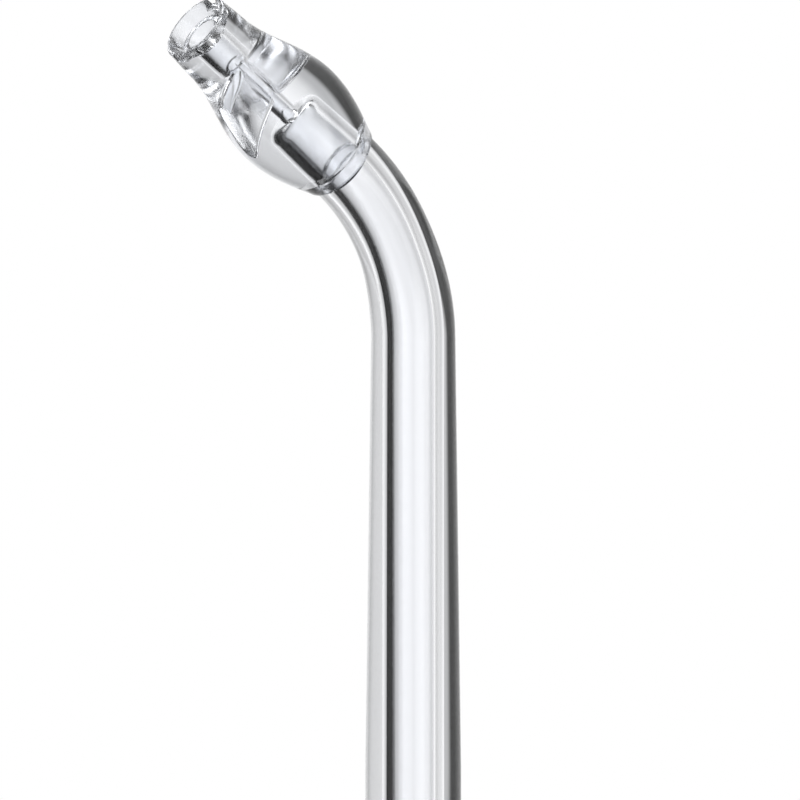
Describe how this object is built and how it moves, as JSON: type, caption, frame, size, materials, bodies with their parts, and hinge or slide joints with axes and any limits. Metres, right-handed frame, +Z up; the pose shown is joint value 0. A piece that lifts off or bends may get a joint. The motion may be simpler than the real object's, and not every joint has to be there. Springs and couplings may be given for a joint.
{
  "type": "saliva ejector tip",
  "caption": "Rigid clear saliva ejector tip: a bent, tapered suction tube with a push-on olive-shaped clear head that has a slotted nose and two side windows.",
  "frame": {"origin": "centre of the tube's valve-end face, on the shank's axis", "axes": "+Z up the straight shank; the bend and the head lean to -X; +Y is square to the plane of the bend"},
  "size_m": [0.0231, 0.0082, 0.1423],
  "materials": {
    "tube_clear": "clear moulded plastic, polished",
    "head_clear": "clear moulded plastic, polished"
  },
  "bodies": {
    "tube": {"cannula_tube": "tube_clear"},
    "head": {"suction_head": "head_clear"}
  },
  "joints": [
    {"name": "head_pull_off", "type": "slide", "parent": "tube", "child": "head", "axis": [-0.8192, 0, 0.5736], "range_m": [0, 0.004]}
  ]
}
